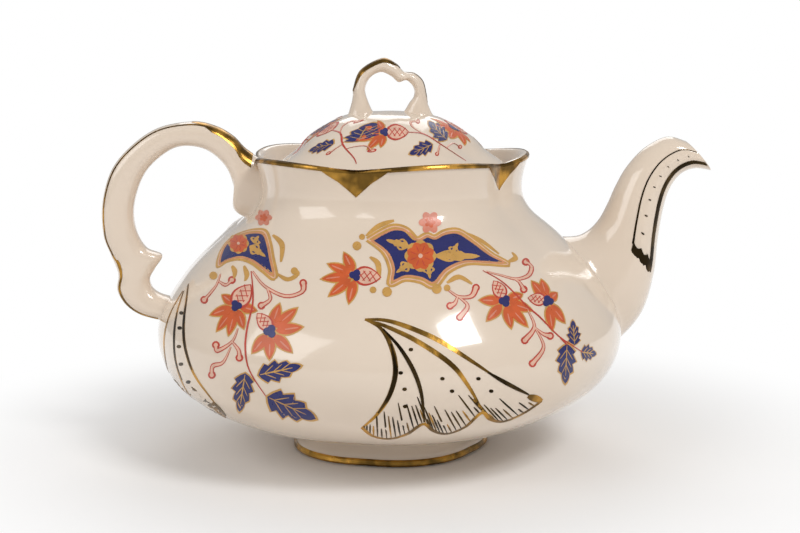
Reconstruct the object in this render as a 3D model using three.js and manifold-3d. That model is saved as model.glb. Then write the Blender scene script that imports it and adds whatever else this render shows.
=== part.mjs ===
// A squat five-lobed porcelain teapot with a swan-neck spout, a loop handle and a lift-off lid.
// Millimetres, +Z up. The foot stands on z = 0, the spout points along +X and the handle along -X.
// The feature that takes the most skill is the lobed body with its V-shaped folds at the rim.
import * as THREE from 'three';
import { mergeVertices } from 'three/addons/utils/BufferGeometryUtils.js';
import Module from 'manifold-3d';

// Whole pot
const LOBES = 5;
const WALL = 3.4;
const SEAT_GAP = 0.3;

// Foot ring
const FOOT_RADIUS = 39.5;
const FOOT_WIDTH = 5;
const FOOT_HEIGHT = 10;
const FOOT_MOULDING = 1;
const BASE_HEIGHT = 7;

// Body outline, from the foot to the rim
const UNDERSIDE_RADIUS = 68;
const UNDERSIDE_HEIGHT = 17;
const HAUNCH_RADIUS = 88;
const HAUNCH_HEIGHT = 31;
const BELLY_RADIUS = 93.5;
const BELLY_HEIGHT = 50;
const SHOULDER_RADIUS = 84;
const SHOULDER_HEIGHT = 69;
const COLLAR_RADIUS = 69;
const COLLAR_HEIGHT = 85;
const THROAT_RADIUS = 57;
const THROAT_HEIGHT = 95.5;
const NECK_RADIUS = 53.5;
const NECK_HEIGHT = 105;
const RIM_RADIUS = 56;
const RIM_HEIGHT = 117.5;

// Furrows between the lobes, as depths below the lobe's crown
const FOOT_FURROW = 2.2;
const BELLY_FURROW = 1.6;
const NECK_FURROW = 4.2;
const FURROW_SOFTNESS = 0.2;

// V-shaped folds at the rim
const FOLD_HALF_WIDTH = 15;
const FOLD_HEIGHT = 12;
const FOLD_DEPTH = 2.2;
const RIM_DIP = 2.8;

// Ledge that carries the lid
const LEDGE_DROP = 6;
const LEDGE_THICKNESS = 3.2;
const LEDGE_SLOPE = 4;
const MOUTH_RADIUS = 42.5;

// Strainer behind the spout
const STRAINER_HOLE_RADIUS = 2.3;
const STRAINER_PITCH_RADIUS = 9;
const STRAINER_RING_HOLES = 6;
const STRAINER_HEIGHT = 61;
const STRAINER_REACH = 24;

// Spout
const SPOUT_WALL = 2.6;
const SPOUT_ROOT_HALF_WIDTH = 19;
const SPOUT_TIP_HALF_WIDTH = 7.5;
const SPOUT_TAPER = 1.7;
const BORE_OVERRUN = 4;

// Handle
const HANDLE_ROOT_HALF_WIDTH = 8.5;
const HANDLE_HALF_WIDTH = 6;
const HANDLE_SQUARENESS = 0.75;

// Lid
const LID_RADIUS = 46;
const LID_EDGE_THICKNESS = 2.4;
const LID_HEIGHT = 22.5;
const LID_WALL = 3;
const LID_CAP_RADIUS = 18;
const LID_CAP_DROP = 1.8;
const LID_SKIRT_CLEARANCE = 1.2;
const LID_SKIRT_DEPTH = 7.5;
const STEAM_HOLE_RADIUS = 1.6;
const STEAM_HOLE_REACH = 24;

// Knob on the lid
const KNOB_HALF_WIDTH = 3.4;
const KNOB_ROOT_HALF_WIDTH = 5;

// Facets
const BODY_SEGMENTS = 60;
const LID_SEGMENTS = 40;
const BODY_ROWS = 17;
const WALL_ROWS = 9;
const LOFT_SIDES = 14;
const WELD = 1e-4;

// The outlines of the spout: its upper and its lower edge in the XZ plane, root to lip.
const SPOUT_UPPER = [
  [64, 84], [74.8, 83.5], [80.5, 85.5], [85, 90], [88.5, 96.5],
  [91.5, 103.5], [96, 111.5], [103, 119], [112, 123.5], [119.5, 121.8],
];
const SPOUT_LOWER = [
  [78, 30], [92, 39], [103, 51], [108, 67], [109.6, 83],
  [111.8, 96], [114.5, 103.5], [118.5, 108.3], [124, 110.3], [130.4, 109.4],
];

// The outlines of the handle: its outer and its inner edge, from the rim to the lower root.
const HANDLE_OUTER = [
  [-44, 112], [-55.5, 119.5], [-61, 125], [-68, 129], [-77.2, 130.8], [-90.4, 128.4],
  [-101, 121.5], [-109, 112], [-113, 99], [-113, 86.5], [-110.6, 79], [-108.8, 74.5],
  [-107.6, 70], [-108.2, 64.2], [-105.2, 58.4], [-99, 54], [-88, 51],
];
const HANDLE_INNER = [
  [-44, 88], [-60.5, 94.5], [-61.3, 104.5], [-64.5, 113], [-72, 119.4], [-82, 120.6],
  [-90.5, 115.8], [-96.5, 108.5], [-100, 97.5], [-99.4, 88], [-95.6, 80.8], [-89.6, 77.8],
  [-92.5, 72.6], [-94.6, 68.4], [-93, 64], [-88, 61.4], [-80, 60.5],
];

// The outlines of the knob: its outer and its inner edge, left to right over the top.
const KNOB_OUTER = [
  [-17, 130], [-14.6, 138.5], [-14, 143.5], [-11, 150.6], [-2.5, 155.2], [3, 153.2],
  [6.4, 150], [10.6, 149.2], [14, 146], [15.4, 140.5], [16, 137], [19, 130],
];
const KNOB_INNER = [
  [-4, 130], [-7.4, 137.4], [-8.8, 142.6], [-7, 147], [-3, 149.2], [1, 147.6],
  [3.8, 145.3], [7, 146], [9.6, 143.4], [9.8, 140], [7.6, 136.8], [4, 130],
];

const wasm = await Module();
wasm.setup();

// Turns a closed geometry into a solid for joining and cutting.
function toSolid(geometry) {
  const bare = geometry.clone();
  bare.deleteAttribute('normal');
  bare.deleteAttribute('uv');
  const merged = mergeVertices(bare, WELD);
  const corners = merged.index.array;
  const kept = [];
  for (let i = 0; i < corners.length; i += 3) {
    const [a, b, c] = [corners[i], corners[i + 1], corners[i + 2]];
    if (a !== b && b !== c && c !== a) {
      kept.push(a, b, c);
    }
  }
  const vertProperties = new Float32Array(merged.attributes.position.array);
  const solid = new wasm.Manifold(new wasm.Mesh({
    numProp: 3,
    vertProperties,
    triVerts: new Uint32Array(kept),
  }));
  if (solid.volume() >= 0) {
    return solid;
  }
  return new wasm.Manifold(new wasm.Mesh({
    numProp: 3,
    vertProperties,
    triVerts: new Uint32Array(kept).reverse(),
  }));
}

// Turns a solid back into a geometry.
function toGeometry(solid) {
  const mesh = solid.getMesh();
  const geometry = new THREE.BufferGeometry();
  geometry.setAttribute('position', new THREE.BufferAttribute(new Float32Array(mesh.vertProperties), 3));
  geometry.setIndex(new THREE.BufferAttribute(new Uint32Array(mesh.triVerts), 1));
  geometry.computeVertexNormals();
  return geometry;
}

// 0 on a lobe's crown and 1 in the furrow between two lobes; a lobe is centred on +X.
function furrowShare(angle) {
  const turn = (LOBES * angle) / 2;
  return 1 - Math.hypot(Math.cos(turn), FURROW_SOFTNESS * Math.sin(turn));
}

// How deep a furrow is at a height.
function furrowDepth(height) {
  if (height < BELLY_HEIGHT) {
    return THREE.MathUtils.mapLinear(Math.max(height, 0), 0, BELLY_HEIGHT, FOOT_FURROW, BELLY_FURROW);
  }
  const rise = THREE.MathUtils.smoothstep(height, BELLY_HEIGHT, NECK_HEIGHT);
  return THREE.MathUtils.lerp(BELLY_FURROW, NECK_FURROW, rise);
}

// The distance round the pot from an angle to the nearest furrow.
function distanceToFurrow(angle, radius) {
  const spacing = (2 * Math.PI) / LOBES;
  const offset = THREE.MathUtils.euclideanModulo(angle, spacing) - spacing / 2;
  return Math.abs(offset) * radius;
}

// A profile of [radius, height] pairs turned round Z and pressed into lobes.
// The first outerCount points are on the outside, where the rim's folds are pressed in.
function lobedLathe(profile, segments, outerCount = 0) {
  const points = profile.map(([radius, height]) => new THREE.Vector2(radius, height));
  const geometry = new THREE.LatheGeometry(points, segments);
  geometry.rotateX(Math.PI / 2);
  const position = geometry.attributes.position;
  const ledge = RIM_HEIGHT - LEDGE_DROP;
  for (let i = 0; i < position.count; i += 1) {
    const [x, y, z] = [position.getX(i), position.getY(i), position.getZ(i)];
    const radius = Math.hypot(x, y);
    const angle = Math.atan2(y, x);
    const share = furrowShare(angle);
    let inset = share * furrowDepth(z) * Math.min(1, radius / FOOT_RADIUS);
    if (i % points.length < outerCount) {
      const side = distanceToFurrow(angle, radius) / FOLD_HALF_WIDTH;
      const drop = Math.max(0, RIM_HEIGHT - z) / FOLD_HEIGHT;
      inset += FOLD_DEPTH * Math.max(0, 1 - side - drop);
    }
    const scale = radius > 0 ? (radius - inset) / radius : 1;
    const lift = THREE.MathUtils.clamp((z - ledge) / LEDGE_DROP, 0, 1);
    const dip = outerCount > 0 ? RIM_DIP * share * lift : 0;
    position.setXYZ(i, x * scale, y * scale, z - dip);
  }
  return toSolid(geometry);
}

// The curve of the body's outside, foot to rim.
function bodyCurve() {
  return new THREE.SplineCurve([
    new THREE.Vector2(FOOT_RADIUS + FOOT_MOULDING, FOOT_HEIGHT),
    new THREE.Vector2(UNDERSIDE_RADIUS, UNDERSIDE_HEIGHT),
    new THREE.Vector2(HAUNCH_RADIUS, HAUNCH_HEIGHT),
    new THREE.Vector2(BELLY_RADIUS, BELLY_HEIGHT),
    new THREE.Vector2(SHOULDER_RADIUS, SHOULDER_HEIGHT),
    new THREE.Vector2(COLLAR_RADIUS, COLLAR_HEIGHT),
    new THREE.Vector2(THROAT_RADIUS, THROAT_HEIGHT),
    new THREE.Vector2(NECK_RADIUS, NECK_HEIGHT),
    new THREE.Vector2(RIM_RADIUS, RIM_HEIGHT),
  ]);
}

// The outline's points and the unit normals that point away from the axis.
function bodyRows(rows) {
  const curve = bodyCurve();
  const found = [];
  for (let i = 0; i <= rows; i += 1) {
    const point = curve.getPoint(i / rows);
    const tangent = curve.getTangent(i / rows);
    found.push({ point, normal: new THREE.Vector2(tangent.y, -tangent.x) });
  }
  return found;
}

// The outside of the pot as one filled solid, grown by a clearance, for cutting what seats on it.
function filledBody(clearance) {
  const rows = bodyRows(BODY_ROWS).map(({ point, normal }) => [
    point.x + clearance * normal.x,
    point.y + clearance * normal.y,
  ]);
  const top = RIM_HEIGHT + clearance;
  return lobedLathe([
    [0, BASE_HEIGHT - clearance],
    [FOOT_RADIUS - FOOT_WIDTH / 2, BASE_HEIGHT - clearance],
    ...rows,
    [RIM_RADIUS - WALL, top],
    [0, top],
  ], BODY_SEGMENTS, 0);
}

// The pot: base, belly, neck, rim and the ledge inside it, pierced by the strainer.
function makePotBody() {
  const outside = bodyRows(BODY_ROWS).map(({ point }) => [point.x, point.y]);
  const ledge = RIM_HEIGHT - LEDGE_DROP;
  const underLedge = ledge - LEDGE_THICKNESS - LEDGE_SLOPE;
  const inside = bodyRows(WALL_ROWS)
    .map(({ point, normal }) => [point.x - WALL * normal.x, point.y - WALL * normal.y])
    .filter(([, height]) => height < underLedge && height > BASE_HEIGHT + WALL)
    .reverse();
  const neckInside = NECK_RADIUS - WALL;
  const profile = [
    [0, BASE_HEIGHT],
    [FOOT_RADIUS - FOOT_WIDTH / 2, BASE_HEIGHT],
    ...outside,
    [RIM_RADIUS - WALL / 2, RIM_HEIGHT + WALL / 4],
    [RIM_RADIUS - WALL, RIM_HEIGHT],
    [neckInside, ledge],
    [MOUTH_RADIUS, ledge],
    [MOUTH_RADIUS, ledge - LEDGE_THICKNESS],
    [neckInside, underLedge],
    ...inside,
    [FOOT_RADIUS, BASE_HEIGHT + WALL],
    [0, BASE_HEIGHT + WALL],
  ];
  let body = lobedLathe(profile, BODY_SEGMENTS, outside.length + 2);
  for (const hole of strainerHoles()) {
    body = body.subtract(hole);
  }
  return toGeometry(body);
}

// One hole in the middle and a ring of holes round it, all along X.
function strainerHoles() {
  const places = [[0, 0]];
  for (let i = 0; i < STRAINER_RING_HOLES; i += 1) {
    const angle = (2 * Math.PI * i) / STRAINER_RING_HOLES;
    places.push([STRAINER_PITCH_RADIUS * Math.cos(angle), STRAINER_PITCH_RADIUS * Math.sin(angle)]);
  }
  return places.map(([y, z]) => {
    const hole = new THREE.CylinderGeometry(
      STRAINER_HOLE_RADIUS, STRAINER_HOLE_RADIUS, 2 * STRAINER_REACH, 10);
    hole.rotateZ(Math.PI / 2);
    hole.translate(BELLY_RADIUS, y, STRAINER_HEIGHT + z);
    return toSolid(hole);
  });
}

// The lobed ring that the pot stands on, trimmed to the underside of the body.
function makeFootRing() {
  const inner = FOOT_RADIUS - FOOT_WIDTH;
  const top = FOOT_HEIGHT + FOOT_MOULDING;
  const ring = lobedLathe([
    [inner, 0],
    [FOOT_RADIUS, 0],
    [FOOT_RADIUS + FOOT_MOULDING, FOOT_MOULDING],
    [FOOT_RADIUS, 3 * FOOT_MOULDING],
    [FOOT_RADIUS, FOOT_HEIGHT / 2],
    [FOOT_RADIUS + FOOT_MOULDING, top],
    [inner, top],
    [inner, 0],
  ], LID_SEGMENTS);
  return toGeometry(ring.subtract(filledBody(SEAT_GAP)));
}

// A curve in the XZ plane through a list of [x, z] pairs.
function outlineCurve(pairs) {
  return new THREE.CatmullRomCurve3(pairs.map(([x, z]) => new THREE.Vector3(x, 0, z)));
}

// A closed solid between two outlines. Each ring is a rounded section that spans from one outline
// to the other; halfWidth gives its reach along Y, and squareness 1 is an ellipse.
function loft(first, second, steps, halfWidth, squareness, wall = 0, overrun = 0) {
  const upper = outlineCurve(first);
  const lower = outlineCurve(second);
  const rings = [];
  for (let i = 0; i <= steps; i += 1) {
    const t = i / steps;
    const a = upper.getPoint(t);
    const b = lower.getPoint(t);
    const half = a.clone().sub(b).multiplyScalar(0.5);
    const centre = a.clone().add(b).multiplyScalar(0.5);
    if (overrun > 0 && i === steps) {
      const ahead = upper.getTangent(1).add(lower.getTangent(1)).normalize();
      centre.addScaledVector(ahead, overrun);
    }
    half.setLength(Math.max(half.length() - wall, wall));
    rings.push({ centre, half, width: Math.max(halfWidth(t) - wall, wall) });
  }
  const vertices = [];
  for (const { centre, half, width } of rings) {
    for (let k = 0; k < LOFT_SIDES; k += 1) {
      const angle = (2 * Math.PI * k) / LOFT_SIDES;
      const along = Math.sign(Math.cos(angle)) * Math.abs(Math.cos(angle)) ** squareness;
      const across = Math.sign(Math.sin(angle)) * Math.abs(Math.sin(angle)) ** squareness;
      vertices.push(centre.x + half.x * along, width * across, centre.z + half.z * along);
    }
  }
  const corners = [];
  for (let i = 0; i < steps; i += 1) {
    for (let k = 0; k < LOFT_SIDES; k += 1) {
      const a = i * LOFT_SIDES + k;
      const b = i * LOFT_SIDES + ((k + 1) % LOFT_SIDES);
      corners.push(a, b, b + LOFT_SIDES, a, b + LOFT_SIDES, a + LOFT_SIDES);
    }
  }
  const last = steps * LOFT_SIDES;
  for (let k = 1; k < LOFT_SIDES - 1; k += 1) {
    corners.push(0, k + 1, k);
    corners.push(last, last + k, last + k + 1);
  }
  const geometry = new THREE.BufferGeometry();
  geometry.setAttribute('position', new THREE.Float32BufferAttribute(vertices, 3));
  geometry.setIndex(corners);
  return toSolid(geometry);
}

// The hollow spout, cut to the side of the body.
function makeSpout() {
  const width = (t) => SPOUT_TIP_HALF_WIDTH
    + (SPOUT_ROOT_HALF_WIDTH - SPOUT_TIP_HALF_WIDTH) * (1 - t) ** SPOUT_TAPER;
  const steps = 2 * (SPOUT_UPPER.length - 1);
  const outer = loft(SPOUT_UPPER, SPOUT_LOWER, steps, width, 1);
  const bore = loft(SPOUT_UPPER, SPOUT_LOWER, steps, width, 1, SPOUT_WALL, BORE_OVERRUN);
  return toGeometry(outer.subtract(filledBody(SEAT_GAP)).subtract(bore));
}

// The strap handle with its thumb rest and lower scroll, cut to the side of the body.
function makeHandle() {
  const width = (t) => HANDLE_HALF_WIDTH
    + (HANDLE_ROOT_HALF_WIDTH - HANDLE_HALF_WIDTH) * (2 * t - 1) ** 4;
  const steps = 2 * (HANDLE_OUTER.length - 1);
  const strap = loft(HANDLE_OUTER, HANDLE_INNER, steps, width, HANDLE_SQUARENESS);
  return toGeometry(strap.subtract(filledBody(SEAT_GAP)));
}

// The lid's outside from its edge to its crown, as [radius, height] pairs.
function lidOutside(clearance) {
  const seat = RIM_HEIGHT - LEDGE_DROP + SEAT_GAP;
  const edge = seat + LID_EDGE_THICKNESS;
  const crown = seat + LID_HEIGHT;
  const curve = new THREE.SplineCurve([
    new THREE.Vector2(LID_RADIUS, edge),
    new THREE.Vector2((LID_RADIUS * 3 + LID_CAP_RADIUS) / 4, edge + (crown - edge) * 0.23),
    new THREE.Vector2((LID_RADIUS + LID_CAP_RADIUS) / 2, edge + (crown - edge) * 0.55),
    new THREE.Vector2(LID_CAP_RADIUS, crown - LID_CAP_DROP),
    new THREE.Vector2(0, crown),
  ]);
  return curve.getPoints(8).map((point) => [Math.max(point.x, 0), point.y + clearance]);
}

// The domed lid with its flange, the skirt that drops into the mouth and its steam hole.
function makeLidShell() {
  const seat = RIM_HEIGHT - LEDGE_DROP + SEAT_GAP;
  const skirt = MOUTH_RADIUS - LID_SKIRT_CLEARANCE;
  const outside = lidOutside(0);
  const inside = outside
    .filter(([radius]) => radius < skirt - LID_WALL && radius > 0)
    .map(([radius, height]) => [radius, height - LID_WALL])
    .reverse();
  const shell = lobedLathe([
    [0, seat + LID_HEIGHT - LID_WALL],
    ...inside,
    [skirt - LID_WALL, seat],
    [skirt - LID_WALL, seat - LID_SKIRT_DEPTH],
    [skirt, seat - LID_SKIRT_DEPTH],
    [skirt, seat],
    [LID_RADIUS, seat],
    ...outside,
  ], LID_SEGMENTS);
  const hole = new THREE.CylinderGeometry(STEAM_HOLE_RADIUS, STEAM_HOLE_RADIUS, 2 * LID_HEIGHT, 10);
  hole.rotateX(Math.PI / 2);
  hole.translate(-STEAM_HOLE_REACH, 0, seat + LID_HEIGHT);
  return toGeometry(shell.subtract(toSolid(hole)));
}

// The pierced loop on top of the lid, cut to the crown of the lid.
function makeLidKnob() {
  const width = (t) => KNOB_HALF_WIDTH + (KNOB_ROOT_HALF_WIDTH - KNOB_HALF_WIDTH) * (2 * t - 1) ** 4;
  const steps = 2 * (KNOB_OUTER.length - 1);
  const loop = loft(KNOB_OUTER, KNOB_INNER, steps, width, 1);
  const outside = lidOutside(SEAT_GAP);
  const below = outside[0][1] - LID_HEIGHT;
  const crown = lobedLathe([[0, below], [LID_RADIUS, below], ...outside], LID_SEGMENTS);
  return toGeometry(loop.subtract(crown));
}

function glaze(color, roughness) {
  return new THREE.MeshStandardMaterial({ color, roughness, metalness: 0 });
}

function piece(name, geometry, material) {
  const mesh = new THREE.Mesh(geometry, material);
  mesh.name = name;
  return mesh;
}

const pot = new THREE.Group();
pot.add(piece('pot_body', makePotBody(), glaze(0xece0d0, 0.18)));
pot.add(piece('foot_ring', makeFootRing(), glaze(0xe6d9c6, 0.25)));
pot.add(piece('spout', makeSpout(), glaze(0xece0d0, 0.18)));
pot.add(piece('handle', makeHandle(), glaze(0xe8dac6, 0.18)));

const lid = new THREE.Group();
lid.add(piece('lid_shell', makeLidShell(), glaze(0xece0d0, 0.18)));
lid.add(piece('lid_knob', makeLidKnob(), glaze(0xe8dac6, 0.18)));

const teapot = new THREE.Group();
teapot.add(pot, lid);
const extent = new THREE.Box3().setFromObject(teapot);
teapot.position.x = -(extent.min.x + extent.max.x) / 2;
teapot.updateMatrixWorld(true);

export default teapot;
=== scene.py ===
import functools
from math import asin, atan2, copysign, cos, degrees, dist, hypot, pi, radians, sin

import bpy
from bpy.props import FloatProperty, FloatVectorProperty, PointerProperty
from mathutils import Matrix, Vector


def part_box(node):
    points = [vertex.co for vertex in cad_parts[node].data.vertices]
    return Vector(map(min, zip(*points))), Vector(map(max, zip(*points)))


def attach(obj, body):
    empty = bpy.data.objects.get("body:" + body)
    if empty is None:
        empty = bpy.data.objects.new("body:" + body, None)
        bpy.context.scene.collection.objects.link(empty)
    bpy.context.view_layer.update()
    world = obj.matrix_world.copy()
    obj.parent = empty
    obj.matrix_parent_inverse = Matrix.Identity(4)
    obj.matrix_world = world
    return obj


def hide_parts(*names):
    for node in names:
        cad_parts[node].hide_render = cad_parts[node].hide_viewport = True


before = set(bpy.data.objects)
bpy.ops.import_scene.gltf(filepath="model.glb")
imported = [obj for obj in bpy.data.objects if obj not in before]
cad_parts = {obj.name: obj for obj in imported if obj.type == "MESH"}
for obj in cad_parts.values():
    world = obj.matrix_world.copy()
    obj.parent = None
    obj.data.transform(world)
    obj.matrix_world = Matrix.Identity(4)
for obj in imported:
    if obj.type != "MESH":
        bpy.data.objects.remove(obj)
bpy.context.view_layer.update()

bl_info = {
    "name": "Lobed porcelain teapot",
    "version": (1, 0),
    "blender": (4, 5, 0),
    "location": "View3D > Sidebar > Teapot",
    "description": "Builds a lobed porcelain teapot with enamel and gilt decoration round its packed frame",
    "category": "Add Mesh",
}

# Metres in a millimetre
MM = 0.001
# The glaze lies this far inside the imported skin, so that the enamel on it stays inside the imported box.
SKIN_DROP = 0.3
# Half size that a section keeps where its wall would leave less
LEAST_HALF = 0.4
# Enamel: height of the lowest level over the glaze, step between levels, and thickness
LEVEL_BASE = 0.07
LEVEL_STEP = 0.022
ENAMEL = 0.06
# Height of most of the gilding over the glaze
GILT_LIFT = 0.12

# Body outline, foot to rim, as radius and height in millimetres
BODY_OUTLINE = [(40.5, 10), (68, 17), (88, 31), (93.5, 50), (84, 69), (69, 85), (57, 95.5),
                (53.5, 105), (56, 117.5)]
BASE_HEIGHT = 7
FOOT_RADIUS = 39.5
FOOT_WIDTH = 5
FOOT_HEIGHT = 10
WALL = 3.4
RIM_RADIUS = 56
RIM_HEIGHT = 117.5
NECK_RADIUS = 53.5
NECK_HEIGHT = 105
BELLY_HEIGHT = 50
LEDGE_HEIGHT = 111.5
LEDGE_THICKNESS = 3.2
LEDGE_BEVEL = 4
MOUTH_RADIUS = 42.5

# Lobes, furrows and folds
LOBES = 5
FURROW_SOFTNESS = 0.2
FOOT_FURROW = 2.2
BELLY_FURROW = 1.6
NECK_FURROW = 4.2
FOLD_HALF_WIDTH = 15
FOLD_HEIGHT = 12
FOLD_DEPTH = 2.2
RIM_DIP = 2.8

# Lid outline, edge to crown
LID_OUTLINE = [(46, 114.2), (39, 118.8), (32, 125.3), (18, 132.5), (0, 134.3)]
LID_SEAT = 111.8
LID_WALL = 3
SKIRT_RADIUS = 41.3
SKIRT_FOOT = 104.3
# Shares of a lift over the dome that go outwards and upwards
DOME_OUT, DOME_UP = 0.4, 0.9

# Outlines of the spout, handle and knob in the plane of symmetry
SPOUT_UPPER = [(64, 84), (74.8, 83.5), (80.5, 85.5), (85, 90), (88.5, 96.5),
               (91.5, 103.5), (96, 111.5), (103, 119), (112, 123.5), (119.5, 121.8)]
SPOUT_LOWER = [(78, 30), (92, 39), (103, 51), (108, 67), (109.6, 83),
               (111.8, 96), (114.5, 103.5), (118.5, 108.3), (124, 110.3), (130.4, 109.4)]
HANDLE_OUTER = [(-44, 112), (-55.5, 119.5), (-61, 125), (-68, 129), (-77.2, 130.8), (-90.4, 128.4),
                (-101, 121.5), (-109, 112), (-113, 99), (-113, 86.5), (-110.6, 79), (-108.8, 74.5),
                (-107.6, 70), (-108.2, 64.2), (-105.2, 58.4), (-99, 54), (-88, 51)]
HANDLE_INNER = [(-44, 88), (-60.5, 94.5), (-61.3, 104.5), (-64.5, 113), (-72, 119.4), (-82, 120.6),
                (-90.5, 115.8), (-96.5, 108.5), (-100, 97.5), (-99.4, 88), (-95.6, 80.8), (-89.6, 77.8),
                (-92.5, 72.6), (-94.6, 68.4), (-93, 64), (-88, 61.4), (-80, 60.5)]
KNOB_OUTER = [(-17, 130), (-14.6, 138.5), (-14, 143.5), (-11, 150.6), (-2.5, 155.2), (3, 153.2),
              (6.4, 150), (10.6, 149.2), (14, 146), (15.4, 140.5), (16, 137), (19, 130)]
KNOB_INNER = [(-4, 130), (-7.4, 137.4), (-8.8, 142.6), (-7, 147), (-3, 149.2), (1, 147.6),
              (3.8, 145.3), (7, 146), (9.6, 143.4), (9.8, 140), (7.6, 136.8), (4, 130)]

# The pot's axis in the frame: the foot's moulding reaches one millimetre past its radius on +X.
AXIS_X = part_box("foot_ring")[1][0] / MM - FOOT_RADIUS - 1


# Shapes: curves and surfaces worked out in the pot's own millimetres

def smooth_curve(points, t):
    """A point of the uniform Catmull-Rom curve through the points, at t from 0 to 1."""
    last = len(points) - 1
    place = clamp(t) * last
    i = min(int(place), last - 1)
    w = place - i
    a, b, c, d = (points[max(i - 1, 0)], points[i], points[i + 1], points[min(i + 2, last)])
    found = []
    for p, q, r, s in zip(a, b, c, d):
        start, end = (r - p) / 2, (s - q) / 2
        found.append((2 * q - 2 * r + start + end) * w ** 3 + (3 * r - 3 * q - 2 * start - end) * w ** 2
                     + start * w + q)
    return found


def clamp(value, low=0.0, high=1.0):
    return min(max(value, low), high)


def furrow_share(angle):
    turn = LOBES * angle / 2
    return 1 - hypot(cos(turn), FURROW_SOFTNESS * sin(turn))


def furrow_depth(height):
    if height < BELLY_HEIGHT:
        return FOOT_FURROW + (BELLY_FURROW - FOOT_FURROW) * max(height, 0) / BELLY_HEIGHT
    rise = clamp((height - BELLY_HEIGHT) / (NECK_HEIGHT - BELLY_HEIGHT))
    return BELLY_FURROW + (NECK_FURROW - BELLY_FURROW) * rise * rise * (3 - 2 * rise)


def pressed(radius, height, angle, outside=False, waved=False):
    """The turned point pressed into lobes, folds and the waved rim, in metres in the frame."""
    share = furrow_share(angle)
    inset = share * furrow_depth(height) * min(1, radius / FOOT_RADIUS)
    if outside:
        spacing = 2 * pi / LOBES
        side = abs(angle % spacing - spacing / 2) * radius / FOLD_HALF_WIDTH
        drop = max(0, RIM_HEIGHT - height) / FOLD_HEIGHT
        inset += FOLD_DEPTH * max(0, 1 - side - drop)
    rise = clamp((height - LEDGE_HEIGHT) / (RIM_HEIGHT - LEDGE_HEIGHT))
    height -= RIM_DIP * share * rise if waved else 0
    reach = max(radius - inset - SKIN_DROP, 0)
    return Vector((AXIS_X + reach * cos(angle), reach * sin(angle), height)) * MM


BODY_SAMPLES = [smooth_curve(BODY_OUTLINE, k / 600) for k in range(601)]


def body_sample(height):
    """The body outline's radius at a height, and its unit normal away from the axis."""
    height = clamp(height, BODY_OUTLINE[0][1], BODY_OUTLINE[-1][1])
    low, high = 0, len(BODY_SAMPLES) - 1
    while high - low > 1:
        middle = (low + high) // 2
        if BODY_SAMPLES[middle][1] <= height:
            low = middle
        else:
            high = middle
    (r0, z0), (r1, z1) = BODY_SAMPLES[low], BODY_SAMPLES[high]
    share = (height - z0) / max(z1 - z0, 1e-6)
    length = hypot(r1 - r0, z1 - z0)
    return r0 + (r1 - r0) * share, (z1 - z0) / length, -(r1 - r0) / length


def on_body(azimuth, height, lift=0.0):
    """A point on the body's outside, at an azimuth in degrees and a height in millimetres."""
    radius, out, up = body_sample(height)
    return pressed(radius + lift * out, height + lift * up, radians(azimuth), True, True)


LID_SAMPLES = [smooth_curve(LID_OUTLINE, k / 400) for k in range(401)]


def on_lid(azimuth, radius, lift=0.0):
    """A point on the lid's outside, at an azimuth in degrees and a distance from the axis."""
    for (r0, z0), (r1, z1) in zip(LID_SAMPLES, LID_SAMPLES[1:]):
        if r1 <= radius <= r0:
            share = (r0 - radius) / max(r0 - r1, 1e-6)
            height = z0 + (z1 - z0) * share + lift * DOME_UP
            return pressed(radius + lift * DOME_OUT, height, radians(azimuth))
    return pressed(radius, LID_OUTLINE[0][1] + lift, radians(azimuth))


def spout_width(t):
    return 7.5 + 11.5 * (1 - t) ** 1.7


def handle_width(t):
    return 6 + 2.5 * (2 * t - 1) ** 4


def knob_width(t):
    return 3.4 + 1.6 * (2 * t - 1) ** 4


# A limb: its outer and inner outline, its half width along them, and the power that squares its section
SPOUT = (SPOUT_UPPER, SPOUT_LOWER, spout_width, 1.0)
HANDLE = (HANDLE_OUTER, HANDLE_INNER, handle_width, 0.72)
KNOB = (KNOB_OUTER, KNOB_INNER, knob_width, 1.0)


def section(limb, t, angle, wall=0.0, lift=0.0, width_at=None):
    """A point of a limb's section at t. Angle 0 is on the outer outline, -90 degrees faces -Y."""
    outer, inner, half_width, power = limb
    ax, az = smooth_curve(outer, t)
    bx, bz = smooth_curve(inner, t)
    hx, hz = (ax - bx) / 2, (az - bz) / 2
    size = hypot(hx, hz)
    width = half_width(t if width_at is None else width_at)
    grown = max(size - wall + lift - SKIN_DROP, LEAST_HALF) / size
    reach = copysign(abs(cos(angle)) ** power, cos(angle)) * grown
    across = copysign(abs(sin(angle)) ** power, sin(angle))
    side = max(width - wall + lift - SKIN_DROP, LEAST_HALF) * across
    return ((ax + bx) / 2 + hx * reach, side, (az + bz) / 2 + hz * reach)


def section_middle(limb, t):
    (ax, az), (bx, bz) = smooth_curve(limb[0], t), smooth_curve(limb[1], t)
    return (ax + bx) / 2, 0, (az + bz) / 2


def blended(floor, value, blend):
    """The larger of the two, with a fillet of that blend where they meet."""
    apart = clamp(0.5 + (value - floor) / (2 * blend))
    return floor * (1 - apart) + value * apart + blend * apart * (1 - apart)


def seated(point, depth, blend=3.0):
    """Draws a point that is inside the body out to a depth under its skin, with a fillet."""
    x, y, z = point
    radius = hypot(x, y)
    skin = on_body(degrees(atan2(y, x)), z)
    met = blended(hypot(skin.x / MM - AXIS_X, skin.y / MM) - depth, radius, blend)
    scale = met / radius if radius > 0 else 1
    return x * scale, y * scale, z


def on_dome(point):
    """Draws a point of the knob up to just under the lid's top, with a fillet."""
    x, y, z = point
    top = on_lid(degrees(atan2(y, x)), min(hypot(x, y), 45)).z / MM
    return x, y, blended(top - 0.4, z, blend=2)


def in_frame(point):
    return Vector((AXIS_X + point[0], point[1], point[2])) * MM


# Materials: a socket that can be used in a sum

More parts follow.
